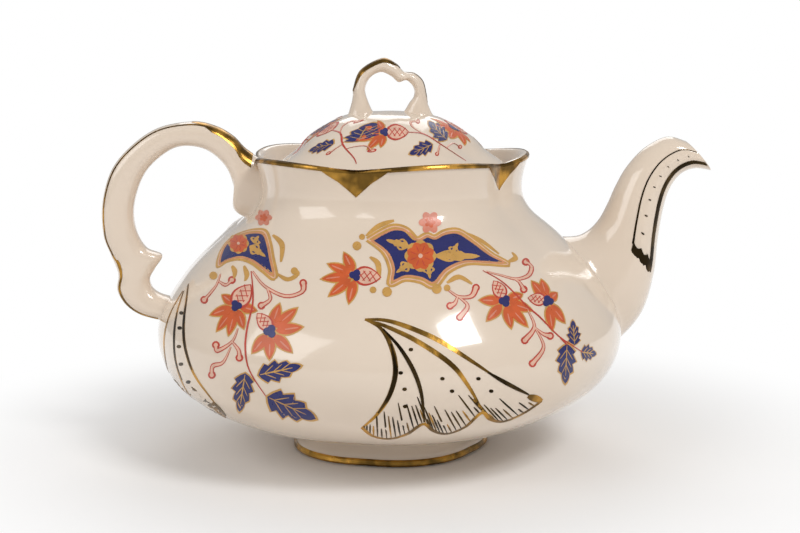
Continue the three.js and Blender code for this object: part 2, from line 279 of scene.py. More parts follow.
class Tone:
    """A number in a material's nodes. An expression on it adds the Math nodes that it needs."""

    def __init__(self, paint, socket):
        self.paint = paint
        self.socket = socket

    def _math(self, operation, first, second):
        node = self.paint.add("ShaderNodeMath", {0: first, 1: second}, operation=operation)
        return Tone(self.paint, node.outputs[0])

    def __add__(self, other):
        return self._math("ADD", self, other)

    def __mul__(self, other):
        return self._math("MULTIPLY", self, other)

    def __sub__(self, other):
        return self._math("SUBTRACT", self, other)

    def __rsub__(self, other):
        return self._math("SUBTRACT", other, self)

    __radd__ = __add__
    __rmul__ = __mul__


def link_or_set(tree, socket, value):
    """Links another node's output to the socket, or sets a plain value on it."""
    if isinstance(value, Tone):
        value = value.socket
    if isinstance(value, bpy.types.NodeSocket):
        tree.links.new(value, socket)
    else:
        socket.default_value = value


def add_node(tree, kind, inputs, **settings):
    node = tree.nodes.new(kind)
    for key, value in settings.items():
        setattr(node, key, value)
    for key, value in inputs.items():
        link_or_set(tree, node.inputs[key], value)
    return node


class Paint:
    """One node material with a Principled shader."""

    def __init__(self, name):
        self.material = bpy.data.materials.new(name)
        self.material.use_nodes = True
        self.tree = self.material.node_tree
        self.shader = self.tree.nodes["Principled BSDF"]
        self.place = self.add("ShaderNodeTexCoord", {}).outputs["Object"]

    def add(self, kind, inputs, **settings):
        return add_node(self.tree, kind, inputs, **settings)

    def feed(self, name, value):
        link_or_set(self.tree, self.shader.inputs[name], value)

    def noise(self, scale, detail=3.0):
        node = self.add("ShaderNodeTexNoise", {"Vector": self.place, "Scale": scale, "Detail": detail})
        return Tone(self, node.outputs["Fac"])

    def mix(self, factor, first, second):
        node = self.add("ShaderNodeMix", {0: factor, 6: first, 7: second}, data_type="RGBA")
        return node.outputs[2]

    def bump(self, height, strength, distance):
        node = self.add("ShaderNodeBump", {"Height": height, "Strength": strength, "Distance": distance})
        self.feed("Normal", node.outputs["Normal"])


def linear(color):
    """An sRGB colour as the linear RGBA that a node takes."""
    return tuple(((c + 0.055) / 1.055) ** 2.4 if c > 0.04 else c / 12.92 for c in color) + (1.0,)


def porcelain(name, color, shade):
    paint = Paint(name)
    cloud = paint.noise(scale=22.0)
    speck = paint.noise(scale=900.0, detail=1.0)
    paint.feed("Base Color", paint.mix(cloud * 0.8 + speck * 0.1, linear(color), linear(shade)))
    paint.feed("Roughness", paint.noise(60.0) * 0.08 + 0.09)
    paint.feed("Coat Weight", 0.6)
    paint.feed("Coat Roughness", 0.04)
    paint.bump(paint.noise(45.0, detail=1.0), strength=0.12, distance=0.0006)
    return paint.material


def enamel(name, color, shade):
    paint = Paint(name)
    brush = paint.noise(scale=260.0, detail=2.0)
    paint.feed("Base Color", paint.mix(brush, linear(color), linear(shade)))
    paint.feed("Roughness", paint.noise(400.0) * 0.15 + 0.22)
    paint.bump(brush, strength=0.2, distance=0.0003)
    return paint.material


def gilt(name, color, shade):
    """Bright gold with painted brown patches of reflection where it mirrors the dark, rubbed at its fine
    grain.
    """
    paint = Paint(name)
    mirrored = paint.noise(scale=120.0, detail=2.0)
    wear = paint.noise(scale=420.0)
    patch = paint.add("ShaderNodeMapRange", {"Value": mirrored, "From Min": 0.36, "From Max": 0.56})
    # Painted reflection sets most of this brown mask, and wear sets the rest.
    reflection_and_wear_mask = Tone(paint, patch.outputs[0]) * 0.85 + wear * 0.15
    paint.feed("Base Color", paint.mix(reflection_and_wear_mask, linear(color), linear(shade)))
    paint.feed("Metallic", 1.0)
    paint.feed("Roughness", wear * 0.2 + 0.14)
    paint.bump(mirrored + wear * 0.2, strength=0.25, distance=0.0006)
    return paint.material


# Mesh making

def deselect():
    if bpy.context.object and bpy.context.object.mode != "OBJECT":
        bpy.ops.object.mode_set(mode="OBJECT")
    bpy.ops.object.select_all(action="DESELECT")


def new_object(name, data):
    made = bpy.data.objects.new(name, data)
    bpy.context.scene.collection.objects.link(made)
    return made


def close_skin(weld=0.0):
    """Joins points of the active mesh that are closer than the weld, and turns its faces outwards."""
    bpy.ops.object.mode_set(mode="EDIT")
    bpy.ops.mesh.select_all(action="SELECT")
    if weld > 0:
        bpy.ops.mesh.remove_doubles(threshold=weld)
    bpy.ops.mesh.normals_make_consistent(inside=False)
    bpy.ops.object.mode_set(mode="OBJECT")


def wrapped_grid(name, around, along, place):
    """A primitive grid laid on a surface by place(u, v) and welded into a closed skin."""
    deselect()
    bpy.ops.mesh.primitive_grid_add(x_subdivisions=around, y_subdivisions=along, size=1)
    skin = bpy.context.object
    skin.name = name
    for vertex in skin.data.vertices:
        vertex.co = place(vertex.co.x + 0.5, vertex.co.y + 0.5)
    skin.location = (0, 0, 0)
    close_skin(weld=0.000002)
    bpy.ops.object.shade_smooth_by_angle(angle=radians(50))
    return skin


def turned_piece(name, profile, around, outer_count=0, waved=False):
    """A closed profile of (radius, height) turned round the axis and pressed into lobes."""
    last = len(profile) - 1

    def place(u, v):
        index = round(v * last)
        radius, height = profile[index]
        return pressed(radius, height, u * 2 * pi, index < outer_count, waved)

    return wrapped_grid(name, around, last, place)


def closed_limb(name, limb, around, steps, settle):
    """A limb's skin, closed at the middle of both end sections. The call settle(point) seats it."""
    last = steps + 2

    def place(u, v):
        row = round(v * last)
        t = clamp((row - 1) / steps)
        ends = row in (0, last)
        return in_frame(settle(section_middle(limb, t) if ends else section(limb, t, u * 2 * pi)))

    return wrapped_grid(name, around, last, place)


def finish_piece(piece, colour, body, slot, *nodes):
    piece.data.materials.clear()
    piece.data.materials.append(glaze()[colour])
    if nodes:
        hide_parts(*nodes)
    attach(piece, body)


def spread(points, count):
    """The points of the curve through a few points, count steps long."""
    return [smooth_curve(points, k / count) for k in range(count + 1)]


def body_profile():
    """The body's closed section from the middle of its base, and how many points are on its outside."""
    outside = spread(BODY_OUTLINE, 110)
    floor_height = BASE_HEIGHT + WALL
    ledge_foot = LEDGE_HEIGHT - LEDGE_THICKNESS - LEDGE_BEVEL
    inside = []
    for _, height in spread(BODY_OUTLINE, 60):
        radius, out, up = body_sample(height)
        inner = (radius - WALL * out, height - WALL * up)
        if floor_height < inner[1] < ledge_foot:
            inside.append(inner)
    neck = NECK_RADIUS - WALL
    rim = [(RIM_RADIUS + reach, RIM_HEIGHT + rise)
           for reach, rise in ((0.1, 0.4), (-0.8, 0.8), (-2.2, 0.8), (-3.1, 0.3))]
    ledge = [(RIM_RADIUS - WALL - 0.2, RIM_HEIGHT - 1), (neck + 1.2, LEDGE_HEIGHT + 2),
             (neck, LEDGE_HEIGHT), (MOUTH_RADIUS + 0.5, LEDGE_HEIGHT), (MOUTH_RADIUS, LEDGE_HEIGHT - 0.5),
             (MOUTH_RADIUS, LEDGE_HEIGHT - LEDGE_THICKNESS), (neck, ledge_foot)]
    base = [(radius, BASE_HEIGHT) for radius in (0, 20, 37)]
    floor = [(radius, floor_height) for radius in (FOOT_RADIUS, 20, 0)]
    return base + outside + rim + ledge + inside[::-1] + floor, len(base) + len(outside) + 2


def foot_profile():
    """The closed section of the foot ring, with its moulding as reach past the radius and height."""
    inner = FOOT_RADIUS - FOOT_WIDTH
    moulding = ((-0.3, 0), (0.5, 0.3), (1, 1), (0.6, 2.2), (0, 3.2), (0, 5), (0.2, 7.5),
                (0.8, FOOT_HEIGHT - 0.2), (-2, 7.2))
    outer = [(FOOT_RADIUS + reach, height) for reach, height in moulding]
    return [(inner, 0.4), (inner + 0.4, 0)] + outer + [(inner, 6.7), (inner, 0.4)]


def lid_profile():
    """The closed section of the lid: under the dome, round the skirt and the flange, and over the top."""
    outside = spread(LID_OUTLINE, 60)
    edge = LID_OUTLINE[0][0]
    inner = SKIRT_RADIUS - LID_WALL
    under = [(radius, height - LID_WALL) for radius, height in outside if 0 < radius < inner]
    skirt = [(inner, LID_SEAT), (inner, SKIRT_FOOT + 0.5), (inner + 0.5, SKIRT_FOOT),
             (SKIRT_RADIUS - 0.5, SKIRT_FOOT), (SKIRT_RADIUS, SKIRT_FOOT + 0.5), (SKIRT_RADIUS, LID_SEAT)]
    flange = [(edge - 0.6, LID_SEAT), (edge, LID_SEAT + 0.6)]
    return [(0, LID_OUTLINE[-1][1] - LID_WALL)] + under[::-1] + skirt + flange + outside


class Decal:
    """Thin enamel or gilding laid on a surface, gathered as one mesh."""

    def __init__(self, name, lift=0.0):
        self.name = name
        self.lift = lift
        self.points = []
        self.faces = []

    def strip(self, rows):
        """Faces between rows of points. Every row is as long as the first."""
        start = len(self.points)
        width = len(rows[0])
        for row in rows:
            self.points.extend(row)
        for i in range(len(rows) - 1):
            for k in range(width - 1):
                a = start + i * width + k
                self.faces.append((a, a + 1, a + 1 + width, a + width))

    def sheet(self, steps, columns, place):
        """A strip of points place(share, column), whose share goes from 0 to 1 along it."""
        self.strip([[place(k / steps, column) for column in columns] for k in range(steps + 1)])

    def patch(self, surface, centre, outline, rings=2):
        """A filled outline round a centre, in the surface's own coordinates."""
        start = len(self.points)
        count = len(outline)
        self.points.append(surface(*centre, self.lift))
        for ring in range(1, rings + 1):
            share = ring / rings
            for a, b in outline:
                here = (centre[0] + (a - centre[0]) * share, centre[1] + (b - centre[1]) * share)
                self.points.append(surface(*here, self.lift))
        for k in range(count):
            nxt = (k + 1) % count
            self.faces.append((start, start + 1 + k, start + 1 + nxt))
            for ring in range(rings - 1):
                a = start + 1 + ring * count
                self.faces.append((a + k, a + count + k, a + count + nxt, a + nxt))

    def ribbon(self, surface, route, width, steps, grow):
        """A brush line along a route. Its width is in millimetres: thin at both ends, growing or even."""
        places = spread(route, steps)
        rows = []
        for k, (a, b) in enumerate(places):
            here = surface(a, b, self.lift)
            before = surface(*places[max(k - 1, 0)], self.lift)
            after = surface(*places[min(k + 1, steps)], self.lift)
            along = (after - before).normalized()
            normal = (surface(a, b, self.lift + 1) - here).normalized()
            share = clamp(k / steps, 0.04, 0.96)
            waist = sin(pi * share)
            taper = {None: 0.35 + 0.65 * waist, "grow": 0.25 + 0.75 * share, "even": 1}[grow]
            side = along.cross(normal) * width * taper * MM / 2
            rows.append([here - side, here + side])
        self.strip(rows)

    def make(self, colour, body, slot):
        mesh = bpy.data.meshes.new(self.name)
        mesh.from_pydata([tuple(point) for point in self.points], [], self.faces)
        piece = new_object(self.name, mesh)
        deselect()
        piece.select_set(True)
        bpy.context.view_layer.objects.active = piece
        thicken = piece.modifiers.new("thickness", "SOLIDIFY")
        thicken.thickness = ENAMEL * MM
        thicken.offset = 0
        bpy.ops.object.modifier_apply(modifier=thicken.name)
        close_skin()
        finish_piece(piece, colour, body, slot)


# The photograph's camera, and places on the skins by pixels of its 800 by 533 frame

FRAME_WIDTH = 800
FRAME_MIDDLE = (400, 266.5)
CAMERA_DISTANCE = 634.9
CAMERA_HEIGHT = 179.2
CAMERA_TURN = radians(-94.15)
CAMERA_PITCH = radians(9.589)
CAMERA_YAW = radians(-0.417)
CAMERA_LENS = 72.17
SENSOR_WIDTH = 36
FOCAL_PIXELS = CAMERA_LENS / SENSOR_WIDTH * FRAME_WIDTH
FACING = CAMERA_TURN + pi + CAMERA_YAW
EYE = Vector((AXIS_X + CAMERA_DISTANCE * cos(CAMERA_TURN),
              CAMERA_DISTANCE * sin(CAMERA_TURN), CAMERA_HEIGHT)) * MM
FORWARD = Vector((cos(FACING) * cos(CAMERA_PITCH), sin(FACING) * cos(CAMERA_PITCH),
                  -sin(CAMERA_PITCH)))
RIGHT = Vector((sin(FACING), -cos(FACING), 0))
UP = RIGHT.cross(FORWARD)
# Millimetres to a pixel at the pot's axis
PIXEL = 0.4
# First guesses for a place under a pixel: the azimuth that faces the camera, the pixel column of the axis
# with the reach of the belly or the lid beside it, and a height or a radius that follows the pixel row
FRONT_AZIMUTH = -94
BODY_COLUMN, BODY_REACH = 382, 232
BODY_ROW, HEIGHT_AT_ROW, HEIGHT_A_ROW = 237, 93, 0.33
LID_COLUMN, LID_REACH = 383, 115
LID_ROW, RADIUS_AT_ROW, RADIUS_A_ROW = 110, 18, 0.45
# Least and largest radius on the lid, of a guess and of a place that is found
GUESS_RADII = (12, 44)
LID_RADII = (10, 45.5)


def project(point):
    offset = point - EYE
    depth = offset.dot(FORWARD)
    return (FRAME_MIDDLE[0] + FOCAL_PIXELS * offset.dot(RIGHT) / depth,
            FRAME_MIDDLE[1] - FOCAL_PIXELS * offset.dot(UP) / depth)


def skin_under(pixel, surface, guess):
    """The surface coordinates that the camera sees at a pixel, by Newton's steps from a guess."""
    a, b = guess
    step, most_a, most_b = 0.1, 12, 8
    for _ in range(10):
        x, y = project(surface(a, b))
        ax, ay = project(surface(a + step, b))
        bx, by = project(surface(a, b + step))
        ax, ay, bx, by = (ax - x) / step, (ay - y) / step, (bx - x) / step, (by - y) / step
        size = ax * by - bx * ay
        if abs(size) < 0.01:
            break
        ex, ey = pixel[0] - x, pixel[1] - y
        a += clamp((ex * by - ey * bx) / size, -most_a, most_a)
        b += clamp((ey * ax - ex * ay) / size, -most_b, most_b)
    return a, b


def azimuth_guess(x, column, reach, limit):
    return FRONT_AZIMUTH + degrees(asin(clamp((x - column) / reach, -limit, limit)))


@functools.lru_cache(maxsize=None)
def body_place(x, y):
    azimuth = azimuth_guess(x, BODY_COLUMN, BODY_REACH, 0.97)
    return skin_under((x, y), on_body, (azimuth, HEIGHT_AT_ROW - (y - BODY_ROW) * HEIGHT_A_ROW))


@functools.lru_cache(maxsize=None)
def lid_place(x, y):
    azimuth = azimuth_guess(x, LID_COLUMN, LID_REACH, 0.9)
    radius = clamp(RADIUS_AT_ROW + (y - LID_ROW) * RADIUS_A_ROW, *GUESS_RADII)
    azimuth, radius = skin_under((x, y), on_lid, (azimuth, radius))
    return azimuth, clamp(radius, *LID_RADII)


def skin(place_under, surface, mirrored=False, turned=0):
    """A surface by pixels of the front, mirrored to the back or turned round the axis by degrees."""
    def place(x, y, lift):
        azimuth, other = place_under(round(x, 1), round(y, 1))
        return surface((-azimuth if mirrored else azimuth) + turned, other, lift)
    return place


# Outlines in pixels

def centroid(outline):
    return sum(x for x, _ in outline) / len(outline), sum(y for _, y in outline) / len(outline)


def circle(centre, radius, count=12, squash=1.0):
    turns = [2 * pi * k / count for k in range(count)]
    return [(centre[0] + radius * cos(turn), centre[1] + squash * radius * sin(turn))
            for turn in turns]


def lobed(centre, radius, lobes, depth, turn=0.0):
    count = lobes * 6
    found = []
    for k in range(count):
        angle = 2 * pi * k / count
        reach = radius * (1 - depth + depth * abs(cos(lobes * angle / 2)))
        found.append((centre[0] + reach * cos(angle + turn), centre[1] + reach * sin(angle + turn)))
    return found


def along_line(base, tip, t, aside=0.0):
    dx, dy = tip[0] - base[0], tip[1] - base[1]
    length = hypot(dx, dy)
    return base[0] + dx * t - dy / length * aside, base[1] + dy * t + dx / length * aside


def stretch(base, tip, start, end):
    """The two points at the shares start and end of the line from base to tip."""
    return along_line(base, tip, start), along_line(base, tip, end)


def blade(base, tip, width, teeth=0, bulk=0.8):
    """A pointed petal from base to tip, or with teeth a jagged leaf."""
    count = teeth * 4 or 8
    found = []
    for side in (1, -1):
        for k in (range(count) if side > 0 else range(count, 0, -1)):
            t = k / count
            half = width / 2 * max(sin(pi * t ** bulk), 0) ** 0.8
            if teeth:
                half *= 0.62 + 0.5 * (t * teeth % 1)
            found.append(along_line(base, tip, t, side * half))
    return found


# Places on the front, in pixels. A flower: calyx, tips of its petals, middle and tip of its cone, width
FLOWERS = (
    ((355.4, 275.4), ((343.9, 252.4), (327.7, 263.9), (321, 279.2), (328.6, 296.4), (348.7, 304)),
     (366.9, 276.3), (380, 277.5), 12.5),
    ((504.6, 301.2),
     ((478.8, 300.2), (486.4, 321.3), (511.3, 328.9), (527.6, 327), (532.4, 310.7), (522.8, 294.5)),
     (498.9, 289.7), (493.8, 281.5), 12.5),
    ((547.7, 301.2), ((531.4, 281.1), (541, 279.2), (557.2, 292.6), (564.9, 323.2), (552.4, 330.8)),
     (537.1, 299.3), (528.3, 298), 12),
    ((236.5, 305.8), ((221.9, 294.8), (210.1, 315.3), (216.7, 331.4), (228.5, 335.8), (243.9, 329.2),
      (257.1, 310.9)), (242.2, 296.2), (250.4, 285.5), 12),
    ((270.3, 331.4),
     ((279.8, 303.6), (297.4, 308), (303.3, 327), (292.3, 352.7), (269.5, 360), (252, 353.4)),
     (264.4, 321.9), (257.8, 314), 14),
)
# A leaf: base, tip and width
LEAVES = (
    ((574.5, 345), (572.5, 320.5), 14), ((566.8, 344), (565, 383.5), 20), ((581, 352), (596, 354), 17),
    ((245.4, 373.2), (239.5, 411.4), 22), ((258.6, 375), (301.1, 365.9), 22),
    ((267.4, 396.7), (315.8, 418.7), 27),
)
STEMS = (
    ((482.6, 270.6), (503.7, 283), (526.6, 306), (540, 317.4), (559.1, 336.6), (582.1, 351.9)),
    ((559.1, 336.6), (567, 345)),
    ((251.2, 271.3), (252.7, 286), (252.7, 305), (247.5, 327), (245.4, 349), (249.8, 371), (265.9, 396)),
)
SCROLLS = (
    ((486.4, 271.5), (503, 276), (517, 279.2), (528.5, 275.4), (531.4, 266.7), (525.7, 262)),
    ((512, 278), (519, 282), (523.7, 289.5)),
    ((444.4, 286.8), (457.7, 296.4), (471.1, 296.4), (475.9, 287.8)),
    ((457.7, 296.4), (467.5, 306), (459.7, 317.4)), ((457.7, 296.4), (455, 303), (450, 306)),
    ((527.6, 309.8), (534.3, 327), (524.7, 340.4)), ((534.3, 327), (543.5, 347), (532.4, 363.4)),
    ((534.3, 327), (543, 334), (550, 336)), ((220.4, 274.2), (216, 286), (204.3, 299.9)),
    ((219, 281.5), (226, 285), (232, 280.1)),
    ((252.7, 271.3), (264.4, 286), (285, 296.2), (302, 292), (303.3, 283)),
    ((267.4, 288.9), (270.3, 299.2), (261.5, 305.8)),
    ((238, 328.5), (232.1, 341.7), (218, 350.5), (216, 345)),
    ((232.1, 341.7), (238.5, 350), (239.5, 357.8)),
    ((230.9, 347), (223.3, 362.2), (213, 366), (212, 374.9)),
)
# A cartouche: outline, rosette and its radius, knobs, leaves and sprigs
CARTOUCHES = (
    (((371.7, 240.9), (385, 233.3), (396.5, 229.4), (408, 232.3), (417.6, 240.5), (427.1, 236.8),
      (434.8, 238.9), (444.4, 234.2), (457.7, 233.3), (473, 242.8), (488.4, 254.3), (503.7, 262.9),
      (482.6, 262), (463.5, 262), (446.3, 269.6), (433.8, 283), (421.4, 278.2), (406.1, 276.3),
      (392.7, 281.1), (393.7, 267.7), (387, 252.4)), (420.4, 256.2), 14.5, (((357, 246), 4.5),
      ((387, 292), 5), ((436.7, 289), 5), ((362, 237), 3), ((373, 290), 3.4), ((447, 288), 3.4)),
     (((409, 247), (386, 240)), ((409, 264), (396, 273)), ((428, 266), (430, 279)),
      ((434, 256), (480, 256.5)), ((452, 254), (458, 243))), (((366, 236), (379, 226), (394, 220.5)),
      ((461, 231.5), (480, 240), (499, 254)), ((508, 262), (515.5, 258), (512, 252.4)),
      ((370, 257), (378, 264), (379, 280)), ((447, 283), (459, 277), (472, 284)))),
    (((243, 235), (252, 233.1), (263, 233.9), (267.4, 243.4), (270.3, 258.1), (273.2, 275), (263, 268.3),
      (252.7, 261), (241, 257.3), (229.2, 259.5), (220.4, 264), (221.9, 253.7), (227.2, 244.4), (235, 238)),
     (238.8, 243.7), 9.5, (((213.5, 275.7), 4), ((294.5, 271), 3.6)),
     (((250, 246), (266, 257)), ((254, 243), (259, 236))),
     (((277.6, 274.2), (288, 279.5), (297.5, 274), (292.3, 268.3)), ((273, 235), (282, 245), (281, 262)),
      ((244, 266), (247, 275), (245, 281)), ((232, 266), (235, 272), (234, 279)))),
)
BLOSSOMS = (((430, 222.5), 11.5), ((263.7, 217.7), 8.5))
# A fan: edges, dark lines of painted reflection, scallops, end, apex, number and size of its hatches, and
# dots
FANS = (
    ((((365, 319.4), (381.2, 328.9), (391.7, 348), (395.6, 371), (390, 394), (377.4, 414), (362.3, 427.6)),
      ((365, 319.4), (385, 320.3), (408, 327), (438.6, 340.4), (469.2, 359.5), (492.2, 374.8)),
      ((369, 321), (385, 326), (415.7, 340.4), (450, 363.4), (467.3, 384.4), (482.6, 411))),
     (((488, 372.5), (508, 384), (528.6, 394.5)),
      ((383, 329), (400, 348), (413.7, 371), (421.4, 394), (424.3, 422)),
      ((391, 344), (395.6, 371), (390, 394), (378, 413))), ((362.3, 427.6), (373, 436), (389.7, 438.8),
      (407, 434), (423.3, 424), (434, 431), (447, 433.8), (465, 427), (481.7, 412.7), (490, 419),
      (504, 421.4), (524, 413), (541.9, 400.7)), ((528, 396), (541.9, 400.7)), (370, 322), 46, 1.0,
     ((410.9, 349.6), (400.7, 372.9), (404.6, 389.2), (405.1, 406.4), (442.4, 378.7), (452, 391.1),
      (478.4, 378.7), (491.2, 391.1))),
    ((((188.4, 284), (186.7, 297.7), (183.7, 324), (185.2, 347.6), (194, 374), (211.6, 398.9),
      (224.8, 415)),
      ((183.7, 291), (177.1, 312.4), (174.2, 335.8), (175.7, 360.8), (185.2, 388.6), (205.7, 412)),
      ((182.7, 291), (171, 312), (165, 332), (164.5, 352), (170, 377), (185, 398))),
     (((187, 297.7), (183.7, 324), (185.2, 347.6), (192, 370)),
      ((177.1, 312.4), (174.2, 335.8), (175.7, 360.8), (182, 380))),
     ((171, 380), (180, 397), (190, 407), (203, 415), (213, 418), (224.8, 415)), ((214, 402), (224.8, 415)),
     (188, 300), 12, 0.4, ((181.5, 313), (179.7, 328), (179, 346.6), (181, 364.2), (188.3, 382))),
)
LID_FLOWER = (
    (384.4, 132.3), ((377.7, 120.8), (362.4, 127.5), (354.8, 140.9), (367.2, 149.5), (380.6, 147.6)),
    (397, 132.3), (408, 132.3), 9,
)
# Turns of the lid's sprays from the front one, in degrees
LID_SPRAYS = (0, -68, 78, 150, 222)
LID_STEM = ((406, 132.3), (423.7, 134.2), (442.8, 145.7), (465.8, 160.9))
LID_LEAVES = (((446.6, 139.9), (428.4, 121.7), 16), ((432.3, 144.7), (409.3, 154.3), 15))
LID_SCROLLS = (
    ((423.7, 134.2), (413.1, 127.5), (411, 122), (418, 121.7)), ((440, 144), (437, 154)),
    ((446, 148), (453, 143), (460, 147)),
)


class Brush:
    """Lays motifs on one skin. Places are pixels, and each level lies a little higher on the glaze."""

    def __init__(self, skin, decals):
        self.skin = skin
        self.decals = decals

    def raised(self, colour, level):
        decal = self.decals[colour]
        decal.lift = LEVEL_BASE + LEVEL_STEP * level
        return decal

    def fill(self, colour, level, outline, rings=2):
        self.raised(colour, level).patch(self.skin, centroid(outline), outline, rings)

    def line(self, colour, level, route, width, steps=16, grow=None):
        self.raised(colour, level).ribbon(self.skin, route, width * PIXEL, steps, grow)

    def cone(self, middle, tip):
        half = dist(middle, tip)
        base = along_line(middle, tip, -0.9)
        self.fill("red", 2, blade(*stretch(middle, tip, -1.1, 1.1), half * 1.5))
        self.fill("blush", 3, blade(base, tip, half * 1.2))
        for slant in (-1, 1):
            for k in (-1, 0, 1):
                start = along_line(base, tip, 0.32 + 0.24 * k, slant * half * 0.38)
                end = along_line(base, tip, 0.64 + 0.24 * k, -slant * half * 0.38)
                self.line("red", 4, (start, end), 0.9, 3, "even")

    def flower(self, calyx, tips, middle, tip, width):
        for end in tips:
            self.fill("ochre", 0, blade(*stretch(calyx, end, 0.08, 1.05), width * 0.98))
            self.fill("orange", 1, blade(*stretch(calyx, end, 0.16, 0.98), width * 0.76))
            self.line("salmon", 2, stretch(calyx, end, 0.45, 0.85), 1.5, 5)
        self.cone(middle, tip)
        turn = atan2(calyx[1] - middle[1], calyx[0] - middle[0])
        self.fill("cobalt", 5, lobed(calyx, width * 0.5, lobes=3, depth=0.35, turn=turn))

    def leaf(self, base, tip, width):
        whole = stretch(base, tip, -0.04, 1.06)
        self.fill("ochre", 0, blade(*whole, width * 1.14, teeth=4, bulk=0.7), rings=3)
        self.fill("cobalt", 1, blade(base, tip, width, teeth=4, bulk=0.7), rings=3)
        self.line("ochre", 2, stretch(base, tip, 0.04, 0.8), 1.3, 8)
        for side in (-1, 1):
            for t in (0.14, 0.34, 0.52):
                end = along_line(base, tip, t + 0.24, side * width * (0.34 - 0.25 * t))
                self.line("ochre", 2, (along_line(base, tip, t), end), 0.9, 4)

    def scroll(self, route, width=6.4):
        self.line("red", 0, route, width, grow="grow")
        self.line("blush", 1, route, width * 0.55, grow="grow")
        self.fill("red", 0, circle(route[-1], width * 0.62, 10))
        self.fill("blush", 1, circle(route[-1], width * 0.34, 8))

    def stem(self, route):
        self.line("red", 3, route, 2.0, 24)

    def cartouche(self, outline, rosette, radius, knobs, leaves, sprigs):
        closed = outline + outline[:1]
        x, y = centroid(outline)
        wide = [(x + (a - x) * 1.06, y + (b - y) * 1.12) for a, b in closed]
        for colour, level, route, width in (("ochre", 0, wide, 6.4), ("blush", 1, wide, 1.2),
                                            ("ochre", 2, closed, 2.4), ("salmon", 3, closed, 1.0)):
            self.line(colour, level, route, width, 110, "even")
        self.fill("cobalt", 1, spread(closed, 84)[:-1], rings=8)
        for knob, size in knobs:
            self.fill("ochre", 2, circle(knob, size))
        for base, tip in leaves:
            self.fill("ochre", 3, blade(base, tip, 4 + dist(base, tip) * 0.16, teeth=3))
            for side in (1, -1):
                route = (base, along_line(base, tip, 0.3, 5 * side), along_line(base, tip, 0.5, 2.6 * side))
                self.line("ochre", 3, route, 2.2, 10)
        for route in sprigs:
            self.line("ochre", 0, route, 5.2, 14)
        self.rosette(rosette, radius)

    def rosette(self, middle, radius, petals=8):
        self.fill("ochre", 4, lobed(middle, radius * 1.1, petals, depth=0.12))
        for k in range(petals):
            angle = (k + 0.5) * 2 * pi / petals
            tip = (middle[0] + radius * cos(angle), middle[1] + radius * sin(angle))
            self.fill("orange", 5, blade(middle, tip, radius * 0.72, bulk=1.4))
            self.line("red", 6, stretch(middle, tip, 0.3, 0.75), 1.0, 4)
        self.fill("blush", 7, circle(middle, radius * 0.16, 8))

    def fan(self, edges, dark, scallops, end, apex, hatches, size, dots):
        for route in edges:
            self.line("gold", 0, route, 4.6, 32)
        # The dark lines, the dots and most hatches are in the dark gold of painted reflection.
        for route in dark:
            self.line("reflected_dark_gold", 1, route, 3.8, 24)
        self.line("gold", 1, scallops, 3.6, 70, "even")
        self.line("gold", 1, end, 7, 8)
        for dot in dots:
            self.fill("reflected_dark_gold", 0, circle(dot, 2.3, 10, squash=0.8))
        feet = spread(scallops, hatches)
        for k in range(1, hatches):
            x, y = feet[k]
            share = k / hatches
            fullness = min(1, 7 * share, 9 * (1 - share))
            reach = size * fullness * (9 + 9 * (k % 2) + 5 * (k % 3)) / dist(apex, (x, y))
            top = (x + (apex[0] - x) * reach * 0.8, y + (apex[1] - y) * reach * 1.2)
            self.line("reflected_dark_gold" if k % 4 else "gold", 0, ((x, y - 1), top), 1.7, 4)

    def panel(self):
        for cartouche in CARTOUCHES:
            self.cartouche(*cartouche)
        for stem in STEMS:
            self.stem(stem)
        for route in SCROLLS:
            self.scroll(route)
        for leaf in LEAVES:
            self.leaf(*leaf)
        for flower in FLOWERS:
            self.flower(*flower)
        for middle, radius in BLOSSOMS:
            self.fill("salmon", 1, lobed(middle, radius, lobes=6, depth=0.3))
            self.fill("orange", 2, lobed(middle, radius * 0.5, lobes=5, depth=0.4))
        for fan in FANS:
            self.fan(*fan)

    def lid_spray(self):
        self.stem(LID_STEM)
        for route in LID_SCROLLS:
            self.scroll(route, 3.4)
        for leaf in LID_LEAVES:
            self.leaf(*leaf)
        self.flower(*LID_FLOWER)


# Property groups

class TeapotSizes(bpy.types.PropertyGroup):
    camera_distance: FloatProperty(name="Camera distance", description="From the pot's axis, in metres",
                                   default=CAMERA_DISTANCE * MM, unit="LENGTH")
    camera_height: FloatProperty(name="Camera height", description="Above the table, in metres",
                                 default=CAMERA_HEIGHT * MM, unit="LENGTH")
    camera_turn: FloatProperty(name="Camera turn", description="Azimuth of the camera round the pot",
                               default=CAMERA_TURN, subtype="ANGLE")
    camera_pitch: FloatProperty(name="Camera pitch", description="How far the camera looks down",
                                default=CAMERA_PITCH, subtype="ANGLE")
    camera_yaw: FloatProperty(name="Camera yaw", description="How far the camera looks past the axis",
                              default=CAMERA_YAW, subtype="ANGLE")
    camera_lens: FloatProperty(name="Lens", description="Focal length on a 36 mm sensor, in mm",
                               default=CAMERA_LENS)


def tint(name, description, default):
    return FloatVectorProperty(name=name, description=description, default=default, subtype="COLOR_GAMMA")


